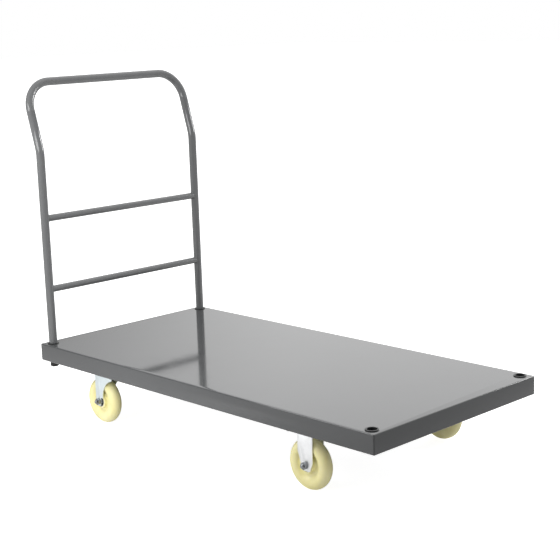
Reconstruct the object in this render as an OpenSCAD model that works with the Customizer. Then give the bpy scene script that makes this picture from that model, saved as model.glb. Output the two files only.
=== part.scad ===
// Flat-deck platform cart with a lift-out push handle.
// Millimetres. +X is the front, +Y the left-hand side, +Z up, and the floor is z = 0.
// The handle stands at the rear, and x = 0 is half way along the whole cart, handle included.

/* [Deck] */
// Length of the deck
deck_l = 1260; // [1000:5:1520]
// Width of the deck
deck_w = 600; // [480:5:730]
// Height of the loading surface above the floor
deck_top = 201; // [197:1:245]
// Depth of the folded rim
rim_h = 48; // [44:1:60]
// Thickness of the deck sheet
sheet_t = 2; // [1.5:0.25:3]
// Outside radius of the deck's upright corners
corner_r = 4; // [4:1:12]
// Width of the lip folded inwards under the rim
lip_w = 12; // [6:1:12]
// Thickness of the caster beams and stiffeners
beam_t = 2.5; // [2:0.5:4]
// Width of a stiffener between the caster beams
stiffener_w = 60; // [40:5:90]
// Depth of a stiffener
stiffener_h = 30; // [20:1:40]

/* [Handle] */
// Outside diameter of the handle tube
handle_od = 23.5; // [19.5:0.1:28.5]
// Wall of the handle tube
handle_wall = 1.5; // [1:0.25:2.5]
// Outside diameter of the two rails
rail_od = 19; // [16:0.5:22]
// Wall of the rails
rail_wall = 1.2; // [1:0.1:2]
// Distance of each post from the deck's end
post_inset_x = 27.5; // [24:0.5:40]
// Distance of each post from the deck's side
post_inset_y = 25; // [24:0.5:40]
// Height of the bend in the posts above the deck
kink_h = 545; // [450:5:660]
// Angle by which the upper part leans back
lean = 16.4; // [8:0.2:25]
// Length of the leaning part, from the bend to the top bar's axis
slant_l = 193; // [160:1:260]
// Centreline radius of the bend in the posts
kink_r = 105; // [70:5:140]
// Centreline radius of the two top corners
top_r = 78; // [60:1:95]
// Height of the lower rail above the deck
lower_rail_h = 156; // [100:1:200]
// Height of the upper rail above the deck
upper_rail_h = 357; // [260:1:420]
// How far the tube itself reaches below the rim
post_drop = 3; // [1:1:6]
// Length of the plastic foot that closes each post below its tube
plug_foot = 15; // [5:1:20]

/* [Sockets] */
// Wall of a socket tube
socket_wall = 1.5; // [1.5:0.25:2.5]
// Wall of the plastic bush
bush_wall = 1.7; // [1.2:0.1:2]
// Thickness of the bush's flange
flange_t = 2.5; // [2:0.5:5]
// Width of the flange round the bush
flange_w = 2.4; // [2:0.2:6]

/* [Casters] */
// Diameter of a wheel
wheel_d = 127; // [105:0.1:128]
// Width of a wheel across its rounded tread
wheel_w = 34; // [28:0.1:41]
// Thickness of the web between hub and tread
web_t = 17; // [12:1:22]
// Diameter of a wheel's hub
hub_d = 42; // [40:1:46]
// Distance of the wheels' middle planes from the deck's sides
wheel_inset = 57.5; // [56:0.5:80]
// Distance of the front axle from the deck's front end
front_setback = 249; // [200:0.5:300]
// Distance of the rear axle from the deck's rear end
rear_setback = 214; // [180:0.5:260]
// Distance from a swivel's upright axis back to its wheel's axle
trail = 35; // [20:1:38]
// Thickness of the caster plates
plate_t = 3; // [2.5:0.5:4]
// Length of a caster plate
plate_l = 100; // [98:1:110]
// Width of a caster plate
plate_w = 84; // [80:1:86]
// Spacing of the plate's holes along the cart
hole_pitch_x = 80; // [78:1:84]
// Spacing of the plate's holes across the cart
hole_pitch_y = 60; // [58:1:64]
// Thickness of the fork legs
leg_t = 2.5; // [2:0.25:3.5]
// Diameter of the axle bolt
axle_d = 10; // [8:1:12]
// Diameter of the kingpin
kingpin_d = 12; // [10:1:14]

/* [Clearances] */
// Radial clearance of a post in its bush
post_fit = 0.08; // [0.04:0.01:0.1]
// Radial clearance of running bores
run_fit = 0.05; // [0.02:0.01:0.08]
// Gap between pieces that are welded or pressed together
seat_gap = 0.02; // [0.01:0.01:0.05]
// Gap between pieces that move past one another
free_gap = 0.4; // [0.3:0.05:0.6]
// Radial clearance of a post in the notch cut for it in the rim's lip
lip_notch = 1; // [0.5:0.25:2]

/* [Hidden] */
$fn = 64;

// Deck levels
rim_bottom = deck_top - rim_h;
deck_under = deck_top - sheet_t;
beam_top = deck_under - seat_gap;
lip_top = rim_bottom + sheet_t;

// The handle leans past the deck's rear end, and half of that overhang shifts the deck forwards
handle_back = sin(lean) * slant_l + handle_od / 2 - post_inset_x;
deck_x = max(0, handle_back) / 2;
deck_rear = deck_x - deck_l / 2;
deck_front = deck_x + deck_l / 2;
side_y = deck_w / 2;

// Posts and sockets
post_y = side_y - post_inset_y;
rear_post_x = deck_rear + post_inset_x;
front_post_x = deck_front - post_inset_x;
kink_z = deck_top + kink_h;
kink_run = kink_r * tan(lean / 2);
plug_stem = 20;
post_bottom = rim_bottom - post_drop;
bush_id = handle_od + 2 * post_fit;
bush_od = bush_id + 2 * bush_wall;
socket_id = bush_od + 2 * seat_gap;
socket_od = socket_id + 2 * socket_wall;
socket_bottom = lip_top + 1;
bush_bottom = socket_bottom + 2;

// Set screws clamp the posts from the inner side of each socket tube
screw_d = 8;
screw_hex = 13;
weld_nut_t = 6.5;
screw_head_t = 5.3;
screw_z = (socket_bottom + deck_under) / 2;

// Casters
wheel_r = wheel_d / 2;
axle_z = wheel_r;
wheel_y = side_y - wheel_inset;
front_axle_x = deck_front - front_setback;
rear_axle_x = deck_rear + rear_setback;
kingpin_x = rear_axle_x + trail;
tread_r = wheel_w / 2;
hub_w = wheel_w + 1.2;
leg_in = hub_w / 2 + free_gap;
leg_out = leg_in + leg_t;
plate_under = rim_bottom - plate_t;
sleeve_od = axle_d + 5;
bearing_od = 32;
bearing_w = 9;
bearing_sink = 0.2;
plate_hole_d = 9;
beam_w = plate_l + 10;

// Swivel head, from the plate down: cup, balls, race on the crown, crown
ball_d = 6;
ball_count = 18;
ball_ring_r = 20;
cup_t = 4;
ball_z = plate_under - cup_t - ball_d / 2 + 2;
crown_t = 3;
race_t = 3;
crown_top = ball_z - ball_d / 2 - 0.6;
race_top = crown_top + race_t;
crown_under = crown_top - crown_t;
kingpin_head_d = 22;
kingpin_head_t = 5;
kingpin_nut_hex = 19;
kingpin_nut_t = 8;

// Fasteners
plate_bolt_d = 8;
plate_bolt_hex = 13;
plate_bolt_head_t = 5.3;
plate_nut_t = 6.8;
axle_hex = 17;
axle_head_t = 6.4;
axle_nut_t = 8;
axle_tail = 5;

// Outline of a rectangle with rounded corners, as points in order
function arc_points(cx, cy, r, from, steps = 8) =
    [for (i = [0:steps]) [cx + r * cos(from + 90 * i / steps), cy + r * sin(from + 90 * i / steps)]];
function rounded(l, w, r) = concat(
    arc_points(l / 2 - r, w / 2 - r, r, 0), arc_points(r - l / 2, w / 2 - r, r, 90),
    arc_points(r - l / 2, r - w / 2, r, 180), arc_points(l / 2 - r, r - w / 2, r, 270));

// A hexagon bar along +Z, given across its flats
module hex_bar(flats, h) { cylinder(d = flats / cos(30), h = h, $fn = 6); }

// A straight tube along +Z
module tube(od, wall, l) {
    difference() {
        cylinder(d = od, h = l);
        translate([0, 0, -1]) cylinder(d = od - 2 * wall, h = l + 2);
    }
}

// A tube bend about the Z axis, starting on +X
module bend(r, angle, od, wall) {
    rotate_extrude(angle = angle) translate([r, 0]) difference() {
        circle(d = od);
        circle(d = od - 2 * wall);
    }
}

// Turns the local Z axis to run across the cart, outwards on the given side (1 left, -1 right)
module across(side) { rotate([-90 * side, 0, 0]) children(); }

// Four corner positions of the sockets, two of them at the given end
module at_sockets() {
    for (x = [front_post_x, rear_post_x], side = [-1, 1])
        translate([x, side * post_y, 0]) scale_side(side) children();
}

// Mirrors the right-hand copy of a left-hand piece
module scale_side(side) { mirror([0, side < 0 ? 1 : 0, 0]) children(); }

/* ---- deck ---- */

module deck_tray() {
    color("#8b8d8e") difference() {
        translate([deck_x, 0, rim_bottom]) linear_extrude(rim_h)
            polygon(rounded(deck_l, deck_w, corner_r));
        translate([deck_x, 0, lip_top]) linear_extrude(rim_h - 2 * sheet_t)
            polygon(rounded(deck_l - 2 * sheet_t, deck_w - 2 * sheet_t, corner_r - sheet_t));
        translate([deck_x - deck_l / 2 + lip_w, lip_w - side_y, rim_bottom - 1])
            cube([deck_l - 2 * lip_w, deck_w - 2 * lip_w, sheet_t + 2]);
        at_sockets() {
            translate([0, 0, deck_under - 1]) cylinder(d = socket_id, h = sheet_t + 2);
            translate([0, 0, rim_bottom - 1]) cylinder(d = handle_od + 2 * lip_notch, h = sheet_t + 2);
        }
    }
}

// Upward channel across the deck that carries two casters
module caster_beam(x, pin_hole) {
    length = deck_w - 2 * lip_w - 2;
    color("#77797a") difference() {
        translate([x - beam_w / 2, -length / 2, rim_bottom])
            cube([beam_w, length, beam_top - rim_bottom]);
        translate([x - beam_w / 2 + beam_t, -length / 2 - 1, rim_bottom + beam_t])
            cube([beam_w - 2 * beam_t, length + 2, rim_h]);
        for (side = [-1, 1]) translate([x, side * wheel_y, rim_bottom - 1]) {
            plate_holes() cylinder(d = plate_hole_d, h = beam_t + 2);
            if (pin_hole) cylinder(d = kingpin_head_d + 8, h = beam_t + 2);
        }
    }
}

module caster_beam_front() { caster_beam(front_axle_x, false); }
module caster_beam_rear() { caster_beam(kingpin_x, true); }

// Downward-open channel under the middle of the deck
module stiffener(x) {
    length = deck_w - 2 * sheet_t - 2 * lip_w;
    color("#77797a") difference() {
        translate([x - stiffener_w / 2, -length / 2, beam_top - stiffener_h])
            cube([stiffener_w, length, stiffener_h]);
        translate([x - stiffener_w / 2 + beam_t, -length / 2 - 1, beam_top - stiffener_h - 1])
            cube([stiffener_w - 2 * beam_t, length + 2, stiffener_h + 1 - beam_t]);
    }
}

// The stiffeners stand at the thirds of the span between the caster beams
beam_span = front_axle_x - kingpin_x;
module stiffener_front() { stiffener(kingpin_x + beam_span * 2 / 3); }
module stiffener_rear() { stiffener(kingpin_x + beam_span / 3); }

/* ---- post sockets ---- */

module socket_tube(x, side) {
    translate([x, side * post_y, 0]) scale_side(side) color("#77797a") difference() {
        translate([0, 0, socket_bottom]) tube(socket_od, socket_wall, beam_top - socket_bottom);
        translate([0, 0, screw_z]) across(-1) cylinder(d = screw_d + 0.6, h = socket_od);
    }
}

module socket_bush(x, side) {
    translate([x, side * post_y, 0]) scale_side(side) color("#1d1e1f") difference() {
        union() {
            translate([0, 0, bush_bottom]) cylinder(d = bush_od, h = deck_top - bush_bottom + 1);
            translate([0, 0, deck_top + seat_gap]) cylinder(d = bush_od + 2 * flange_w, h = flange_t);
        }
        translate([0, 0, bush_bottom - 1]) cylinder(d = bush_id, h = rim_h + flange_t + 2);
        translate([0, 0, screw_z]) across(-1) cylinder(d = screw_d + 0.6, h = socket_od);
    }
}

module socket_tube_front_left() { socket_tube(front_post_x, 1); }
module socket_tube_front_right() { socket_tube(front_post_x, -1); }
module socket_tube_rear_left() { socket_tube(rear_post_x, 1); }
module socket_tube_rear_right() { socket_tube(rear_post_x, -1); }
module socket_bush_front_left() { socket_bush(front_post_x, 1); }
module socket_bush_front_right() { socket_bush(front_post_x, -1); }
module socket_bush_rear_left() { socket_bush(rear_post_x, 1); }
module socket_bush_rear_right() { socket_bush(rear_post_x, -1); }

// Nut welded to the inner side of each socket tube
module weld_nuts() {
    start = socket_od / 2 + seat_gap;
    color("#b9bcbd") at_sockets() translate([0, 0, screw_z]) across(-1) difference() {
        translate([0, 0, start]) hex_bar(screw_hex, weld_nut_t);
        translate([0, 0, start - 1]) cylinder(d = screw_d + 2 * run_fit, h = weld_nut_t + 2);
    }
}

// Screw whose tip stops just short of the post
module set_screws() {
    tip = bush_id / 2 + free_gap;
    head = socket_od / 2 + weld_nut_t + 4;
    color("#c7cacb") at_sockets() translate([0, 0, screw_z]) across(-1) {
        translate([0, 0, tip]) cylinder(d = screw_d, h = head - tip + 1);
        translate([0, 0, head]) hex_bar(screw_hex, screw_head_t);
    }
}

/* ---- handle ---- */

// One post with its bend and top corner, on the left-hand side
module half_handle() {
    translate([rear_post_x, post_y, post_bottom])
        tube(handle_od, handle_wall, kink_z - kink_run - post_bottom);
    translate([rear_post_x - kink_r, post_y, kink_z - kink_run]) rotate([90, 0, 0])
        bend(kink_r, lean, handle_od, handle_wall);
    translate([rear_post_x, post_y, kink_z]) rotate([0, -lean, 0]) {
        translate([0, 0, kink_run]) tube(handle_od, handle_wall, slant_l - top_r - kink_run);
        translate([0, -top_r, slant_l - top_r]) rotate([90, 0, 90])
            bend(top_r, 90, handle_od, handle_wall);
    }
}

module handle_tube() {
    bar = 2 * (post_y - top_r);
    color("#6f7173") {
        half_handle();
        mirror([0, 1, 0]) half_handle();
        translate([rear_post_x, 0, kink_z]) rotate([0, -lean, 0])
            translate([0, -bar / 2, slant_l]) rotate([-90, 0, 0]) tube(handle_od, handle_wall, bar);
    }
}

// Rail whose ends are coped to the posts
module rail(height) {
    color("#6f7173") translate([rear_post_x, 0, deck_top + height]) difference() {
        translate([0, -post_y, 0]) rotate([-90, 0, 0]) tube(rail_od, rail_wall, 2 * post_y);
        for (side = [-1, 1]) translate([0, side * post_y, -rail_od])
            cylinder(d = handle_od + 2 * seat_gap, h = 2 * rail_od);
    }
}

module lower_rail() { rail(lower_rail_h); }
module upper_rail() { rail(upper_rail_h); }

module end_plug(side) {
    color("#1d1e1f") translate([rear_post_x, side * post_y, post_bottom]) {
        translate([0, 0, -plug_foot - seat_gap]) cylinder(d = handle_od, h = plug_foot);
        translate([0, 0, -1]) cylinder(d = handle_od - 2 * handle_wall - 2 * seat_gap, h = plug_stem);
    }
}

module end_plug_left() { end_plug(1); }
module end_plug_right() { end_plug(-1); }

/* ---- caster mounting ---- */

// Children repeated at the four holes of a caster plate
module plate_holes() {
    for (dx = [-1, 1], dy = [-1, 1])
        translate([dx * hole_pitch_x / 2, dy * hole_pitch_y / 2, 0]) children();
}

// Children repeated at all sixteen mounting holes
module at_plate_bolts() {
    for (x = [front_axle_x, kingpin_x], side = [-1, 1])
        translate([x, side * wheel_y, 0]) plate_holes() children();
}

module caster_plate() {
    difference() {
        translate([-plate_l / 2, -plate_w / 2, plate_under])
            cube([plate_l, plate_w, plate_t - seat_gap]);
        plate_holes() translate([0, 0, plate_under - 1]) cylinder(d = plate_hole_d, h = plate_t + 2);
    }
}

module caster_bolts() {
    seat = rim_bottom + beam_t + seat_gap;
    tail = plate_under - plate_nut_t - 1.5;
    color("#c7cacb") at_plate_bolts() {
        translate([0, 0, tail]) cylinder(d = plate_bolt_d, h = seat - tail + 1);
        translate([0, 0, seat]) hex_bar(plate_bolt_hex, plate_bolt_head_t);
    }
}

module caster_nuts() {
    nut_z = plate_under - seat_gap - plate_nut_t;
    color("#c7cacb") at_plate_bolts() translate([0, 0, nut_z]) difference() {
        hex_bar(plate_bolt_hex, plate_nut_t);
        translate([0, 0, -1]) cylinder(d = plate_bolt_d + 2 * run_fit, h = plate_nut_t + 2);
    }
}

/* ---- rigid front casters ---- */

// Leg outline about the axle: square shoulders, tapering on both edges towards the foot
function rigid_leg(top) = [
    [-24, top], [-24, 33], [-9, -11], [-5.5, -13.5], [12, -13.5], [15, -11], [24, 9.5], [24, top]];

module leg_pair(hole_d) {
    for (side = [-1, 1]) scale_side(side) translate([0, leg_out, 0]) rotate([90, 0, 0]) difference() {
        linear_extrude(leg_t) children();
        translate([0, 0, -1]) cylinder(d = hole_d, h = leg_t + 2);
    }
}

module rigid_fork(side) {
    color("#e4e7e8") translate([front_axle_x, side * wheel_y, 0]) {
        caster_plate();
        translate([0, 0, axle_z]) leg_pair(axle_d + 2 * run_fit)
            polygon(rigid_leg(plate_under - axle_z + 1));
    }
}

module rigid_fork_left() { rigid_fork(1); }
module rigid_fork_right() { rigid_fork(-1); }

/* ---- swivelling rear casters ---- */

module swivel_plate(side) {
    color("#d3d8da") translate([kingpin_x, side * wheel_y, 0]) difference() {
        caster_plate();
        translate([0, 0, plate_under - 1]) cylinder(d = kingpin_d + 2 * seat_gap, h = plate_t + 2);
    }
}

module swivel_plate_left() { swivel_plate(1); }
module swivel_plate_right() { swivel_plate(-1); }

// A grooved ring: the groove is a torus round the ball circle
module race_ring(bottom, h) {
    difference() {
        translate([0, 0, bottom]) cylinder(d = 2 * ball_ring_r + 9, h = h);
        translate([0, 0, bottom - 1]) cylinder(d = 2 * ball_ring_r - 9, h = h + 2);
        translate([0, 0, ball_z]) rotate_extrude() translate([ball_ring_r, 0])
            circle(d = ball_d + 0.6);
    }
}

module bearing_cup(side) {
    color("#b4b8ba") translate([kingpin_x, side * wheel_y, 0])
        race_ring(plate_under - cup_t, cup_t - seat_gap);
}

module bearing_cup_left() { bearing_cup(1); }
module bearing_cup_right() { bearing_cup(-1); }

module kingpin(side) {
    tail = crown_under - free_gap - kingpin_nut_t - 2;
    color("#b4b8ba") translate([kingpin_x, side * wheel_y, 0]) {
        translate([0, 0, tail]) cylinder(d = kingpin_d, h = rim_bottom - tail + 1);
        translate([0, 0, rim_bottom]) cylinder(d = kingpin_head_d, h = kingpin_head_t);
    }
}

module kingpin_left() { kingpin(1); }
module kingpin_right() { kingpin(-1); }

module kingpin_nut(side) {
    color("#b4b8ba") translate([kingpin_x, side * wheel_y, crown_under - free_gap - kingpin_nut_t])
        difference() {
            hex_bar(kingpin_nut_hex, kingpin_nut_t);
            translate([0, 0, -1]) cylinder(d = kingpin_d + 2 * seat_gap, h = kingpin_nut_t + 2);
        }
}

module kingpin_nut_left() { kingpin_nut(1); }
module kingpin_nut_right() { kingpin_nut(-1); }

module swivel_balls(side) {
    color("#dfe3e5") translate([kingpin_x, side * wheel_y, ball_z])
        for (i = [1:ball_count]) rotate([0, 0, 360 * i / ball_count])
            translate([ball_ring_r, 0, 0]) sphere(d = ball_d, $fn = 24);
}

module swivel_balls_left() { swivel_balls(1); }
module swivel_balls_right() { swivel_balls(-1); }

// Swivel leg about the axle: upright behind, hollowed by a wide arc in front
foot_r = 13.5;
crown_front = trail + 25;
module swivel_leg(top) {
    difference() {
        polygon([[-foot_r, 0], [foot_r + 1.5, 0], [foot_r + 3.5, 12], [crown_front, 12], [crown_front, top],
            [-foot_r, top]]);
        translate([crown_front + 14, 12]) circle(r = crown_front + 10.5 - foot_r);
    }
    circle(r = foot_r);
}

module swivel_fork(side) {
    crown_r = ball_ring_r + 6;
    color("#c3ccd0") translate([rear_axle_x, side * wheel_y, 0]) {
        difference() {
            union() {
                translate([-foot_r, -leg_out, crown_under]) cube([crown_front + foot_r, 2 * leg_out, crown_t]);
                translate([trail, 0, crown_under]) cylinder(r = crown_r, h = crown_t);
                translate([trail, 0, 0]) race_ring(crown_top - 0.5, race_t + 0.5);
            }
            translate([trail, 0, crown_under - 1])
                cylinder(d = kingpin_d + 2 * run_fit, h = race_top - crown_under + 2);
        }
        translate([0, 0, axle_z]) leg_pair(axle_d + 2 * run_fit) swivel_leg(crown_under - axle_z + 1);
    }
}

module swivel_fork_left() { swivel_fork(1); }
module swivel_fork_right() { swivel_fork(-1); }

/* ---- wheels ---- */

// Children set on an axle, with local +Z pointing outwards
module on_axle(x, side) { translate([x, side * wheel_y, axle_z]) across(side) children(); }

// One-piece wheel: full-round tread, recessed web, hub
module wheel(x, side) {
    color("#efe9b8") on_axle(x, side) difference() {
        union() {
            rotate_extrude($fn = 128) translate([wheel_r - tread_r, 0]) circle(r = tread_r);
            translate([0, 0, -web_t / 2]) cylinder(r = wheel_r - tread_r, h = web_t, $fn = 128);
            translate([0, 0, -hub_w / 2]) cylinder(d = hub_d, h = hub_w);
        }
        translate([0, 0, -hub_w]) cylinder(d = bearing_od + 2 * seat_gap, h = 2 * hub_w);
    }
}

module wheel_front_left() { wheel(front_axle_x, 1); }
module wheel_front_right() { wheel(front_axle_x, -1); }
module wheel_rear_left() { wheel(rear_axle_x, 1); }
module wheel_rear_right() { wheel(rear_axle_x, -1); }

// The two ball bearings pressed into a hub
module wheel_bearings(x, side) {
    color("#2b2d2e") on_axle(x, side)
        for (end = [-1, 1]) mirror([0, 0, end < 0 ? 1 : 0])
            translate([0, 0, hub_w / 2 - bearing_sink - bearing_w]) difference() {
                cylinder(d = bearing_od, h = bearing_w);
                translate([0, 0, -1]) cylinder(d = sleeve_od + 2 * run_fit, h = bearing_w + 2);
            }
}

module wheel_bearings_front_left() { wheel_bearings(front_axle_x, 1); }
module wheel_bearings_front_right() { wheel_bearings(front_axle_x, -1); }
module wheel_bearings_rear_left() { wheel_bearings(rear_axle_x, 1); }
module wheel_bearings_rear_right() { wheel_bearings(rear_axle_x, -1); }

// Sleeve that keeps the fork legs apart
module axle_sleeve(x, side) {
    length = 2 * (leg_in - seat_gap);
    color("#b4b8ba") on_axle(x, side) translate([0, 0, -length / 2])
        tube(sleeve_od, (sleeve_od - axle_d) / 2 - run_fit, length);
}

module axle_sleeve_front_left() { axle_sleeve(front_axle_x, 1); }
module axle_sleeve_front_right() { axle_sleeve(front_axle_x, -1); }
module axle_sleeve_rear_left() { axle_sleeve(rear_axle_x, 1); }
module axle_sleeve_rear_right() { axle_sleeve(rear_axle_x, -1); }

// Bolt with its head on the inner side of the fork and its thread end outwards
module axle_bolt(x, side) {
    seat = leg_out + seat_gap;
    tail = seat + axle_nut_t + axle_tail;
    color("#c7cacb") on_axle(x, side) {
        translate([0, 0, -seat - 1]) cylinder(d = axle_d, h = seat + 1 + tail);
        translate([0, 0, -seat - axle_head_t]) hex_bar(axle_hex, axle_head_t);
    }
}

module axle_bolt_front_left() { axle_bolt(front_axle_x, 1); }
module axle_bolt_front_right() { axle_bolt(front_axle_x, -1); }
module axle_bolt_rear_left() { axle_bolt(rear_axle_x, 1); }
module axle_bolt_rear_right() { axle_bolt(rear_axle_x, -1); }

module axle_nut(x, side) {
    color("#c7cacb") on_axle(x, side) translate([0, 0, leg_out + seat_gap]) difference() {
        hex_bar(axle_hex, axle_nut_t);
        translate([0, 0, -1]) cylinder(d = axle_d + 2 * run_fit, h = axle_nut_t + 2);
    }
}

module axle_nut_front_left() { axle_nut(front_axle_x, 1); }
module axle_nut_front_right() { axle_nut(front_axle_x, -1); }
module axle_nut_rear_left() { axle_nut(rear_axle_x, 1); }
module axle_nut_rear_right() { axle_nut(rear_axle_x, -1); }

deck_tray();
caster_beam_front();
caster_beam_rear();
stiffener_front();
stiffener_rear();
socket_tube_front_left();
socket_tube_front_right();
socket_tube_rear_left();
socket_tube_rear_right();
socket_bush_front_left();
socket_bush_front_right();
socket_bush_rear_left();
socket_bush_rear_right();
weld_nuts();
set_screws();
caster_bolts();
caster_nuts();
handle_tube();
lower_rail();
upper_rail();
end_plug_left();
end_plug_right();
rigid_fork_left();
rigid_fork_right();
swivel_plate_left();
swivel_plate_right();
bearing_cup_left();
bearing_cup_right();
kingpin_left();
kingpin_right();
kingpin_nut_left();
kingpin_nut_right();
swivel_balls_left();
swivel_balls_right();
swivel_fork_left();
swivel_fork_right();
wheel_front_left();
wheel_front_right();
wheel_rear_left();
wheel_rear_right();
wheel_bearings_front_left();
wheel_bearings_front_right();
wheel_bearings_rear_left();
wheel_bearings_rear_right();
axle_sleeve_front_left();
axle_sleeve_front_right();
axle_sleeve_rear_left();
axle_sleeve_rear_right();
axle_bolt_front_left();
axle_bolt_front_right();
axle_bolt_rear_left();
axle_bolt_rear_right();
axle_nut_front_left();
axle_nut_front_right();
axle_nut_rear_left();
axle_nut_rear_right();
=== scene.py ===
import math

import bpy
from mathutils import Matrix, Quaternion, Vector


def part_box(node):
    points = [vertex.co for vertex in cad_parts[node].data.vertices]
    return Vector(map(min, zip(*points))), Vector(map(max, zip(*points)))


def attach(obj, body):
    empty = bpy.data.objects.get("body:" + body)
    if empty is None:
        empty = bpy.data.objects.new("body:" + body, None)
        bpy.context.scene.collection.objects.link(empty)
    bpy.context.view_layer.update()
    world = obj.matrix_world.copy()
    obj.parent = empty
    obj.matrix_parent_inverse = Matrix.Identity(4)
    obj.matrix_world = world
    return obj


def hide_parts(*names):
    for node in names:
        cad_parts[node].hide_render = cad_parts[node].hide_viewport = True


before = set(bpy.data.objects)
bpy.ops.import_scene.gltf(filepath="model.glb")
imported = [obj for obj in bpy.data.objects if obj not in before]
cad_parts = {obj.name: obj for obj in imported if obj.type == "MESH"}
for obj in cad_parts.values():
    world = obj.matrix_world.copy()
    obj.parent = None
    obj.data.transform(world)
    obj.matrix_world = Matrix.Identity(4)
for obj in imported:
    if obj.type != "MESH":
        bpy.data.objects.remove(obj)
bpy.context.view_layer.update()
mm = 0.001


# Camera. A long lens at chest height, looking down the cart from its front right-hand corner,
# held about two degrees off level.
view_heading = math.radians(135.915)
view_pitch = math.radians(-11.673)
view_roll = math.radians(-1.865)
view_distance = 3.0
view_aim = Vector((0.3249, -0.2519, 0.4941))
forward = Vector((
    math.cos(view_heading) * math.cos(view_pitch),
    math.sin(view_heading) * math.cos(view_pitch),
    math.sin(view_pitch),
))
lens = bpy.data.cameras.new("studio_camera")
lens.sensor_width = 36
lens.lens = 83.45
camera = bpy.data.objects.new("studio_camera", lens)
camera.location = view_aim - forward * view_distance
camera.rotation_mode = "QUATERNION"
camera.rotation_quaternion = (-forward).to_track_quat("Z", "Y") @ Quaternion((0, 0, 1), view_roll)
bpy.context.scene.collection.objects.link(camera)
bpy.context.scene.camera = camera
bpy.context.scene.view_settings.view_transform = "Standard"


# Floor. White studio paper lit from below, so that it stays white out to the horizon and keeps only a
# trace of shadow. The glow is for the camera. For the cart, the paper's colour darkens past its front: painted
# shade.
def linear(hex_colour):
    """An sRGB hex colour as the linear RGBA that a shader socket takes."""
    parts = [int(hex_colour[i:i + 2], 16) / 255 for i in (1, 3, 5)]
    return [c / 12.92 if c <= 0.04045 else ((c + 0.055) / 1.055) ** 2.4 for c in parts] + [1.0]


def add_node(tree, kind, links=(), **settings):
    """Adds a shader node. Settings name its properties or input sockets; links are (socket, from_socket)."""
    node = tree.nodes.new(kind)
    for key, value in settings.items():
        if hasattr(node, key) and key not in node.inputs:
            setattr(node, key, value)
        else:
            node.inputs[key.replace("_", " ")].default_value = value
    for socket, source in links:
        tree.links.new(source, node.inputs[socket])
    return node


def new_material(name):
    """An empty node material, with its tree and its output node."""
    material = bpy.data.materials.new(name)
    material.use_nodes = True
    material.node_tree.nodes.clear()
    return material, material.node_tree, material.node_tree.nodes.new("ShaderNodeOutputMaterial")


def fade(tree, value, start, end, start_level, end_level):
    """A smooth change from one level to another as a value goes from start to end."""
    ramp = add_node(tree, "ShaderNodeMapRange", [("Value", value)], interpolation_type="SMOOTHSTEP",
                    From_Min=start, From_Max=end, To_Min=start_level, To_Max=end_level)
    return ramp.outputs["Result"]


def times(tree, first, second):
    """Two values multiplied."""
    product = add_node(tree, "ShaderNodeMath", operation="MULTIPLY")
    tree.links.new(first, product.inputs[0])
    tree.links.new(second, product.inputs[1])
    return product.outputs["Value"]


studio_paper, tree, out = new_material("studio_paper")
place = add_node(tree, "ShaderNodeTexCoord")
fibre = add_node(tree, "ShaderNodeTexNoise", [("Vector", place.outputs["Object"])], Scale=40.0, Detail=3.0)
tone = add_node(tree, "ShaderNodeMapRange", [("Value", fibre.outputs["Fac"])], To_Min=0.78, To_Max=0.82)
ray = add_node(tree, "ShaderNodeLightPath")
backlight = add_node(tree, "ShaderNodeMapRange", [("Value", ray.outputs["Is Camera Ray"])],
                     To_Min=0.12, To_Max=0.86)
along = add_node(tree, "ShaderNodeSeparateXYZ", [("Vector", place.outputs["Object"])])
# Painted shade: the paper's base colour darkens along X past the cart's front, so the cart sees it shaded there.
painted_shade_on_paper = fade(tree, along.outputs["X"], 0.4, 1.1, 0.74, 0.42)
sheet = add_node(tree, "ShaderNodeBsdfPrincipled",
                 [("Base Color", painted_shade_on_paper), ("Roughness", tone.outputs["Result"]),
                  ("Emission Strength", backlight.outputs["Result"])], Emission_Color=(1, 1, 1, 1))
tree.links.new(sheet.outputs["BSDF"], out.inputs["Surface"])
bpy.ops.mesh.primitive_plane_add(size=60, location=(0, 0, 0))
floor = bpy.context.active_object
floor.name = "floor"
floor.data.materials.append(studio_paper)


# Light. A white room that the camera sees as plain white. The cart sees it fall off to grey towards its
# rear, its front and its right-hand side. Four softboxes: two on the camera's left, one of them small and
# low, a bright one behind on the camera's right, and a large one overhead.
room = bpy.data.worlds.new("white_room")
bpy.context.scene.world = room
room.use_nodes = True
tree = room.node_tree
tree.nodes.clear()
way = add_node(tree, "ShaderNodeTexCoord")
axes = add_node(tree, "ShaderNodeSeparateXYZ", [("Vector", way.outputs["Generated"])])
from_rear = fade(tree, axes.outputs["X"], -0.86, -0.68, 0.52, 1.34)
to_front = fade(tree, axes.outputs["X"], 0.25, 0.6, 1.0, 0.5)
to_camera = fade(tree, axes.outputs["Y"], 0.5, -0.1, 1.0, 0.55)
upward = fade(tree, axes.outputs["Z"], 0.14, 0.3, 1.0, 1.2)
glow = times(tree, times(tree, from_rear, to_front), times(tree, to_camera, upward))
lit = add_node(tree, "ShaderNodeBackground", [("Strength", glow)], Color=(1, 1, 1, 1))
seen = add_node(tree, "ShaderNodeBackground", Color=(1, 1, 1, 1), Strength=1.0)
ray = add_node(tree, "ShaderNodeLightPath")
mix = add_node(tree, "ShaderNodeMixShader", [("Fac", ray.outputs["Is Camera Ray"])])
tree.links.new(lit.outputs["Background"], mix.inputs[1])
tree.links.new(seen.outputs["Background"], mix.inputs[2])
sky = tree.nodes.new("ShaderNodeOutputWorld")
tree.links.new(mix.outputs["Shader"], sky.inputs["Surface"])


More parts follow.
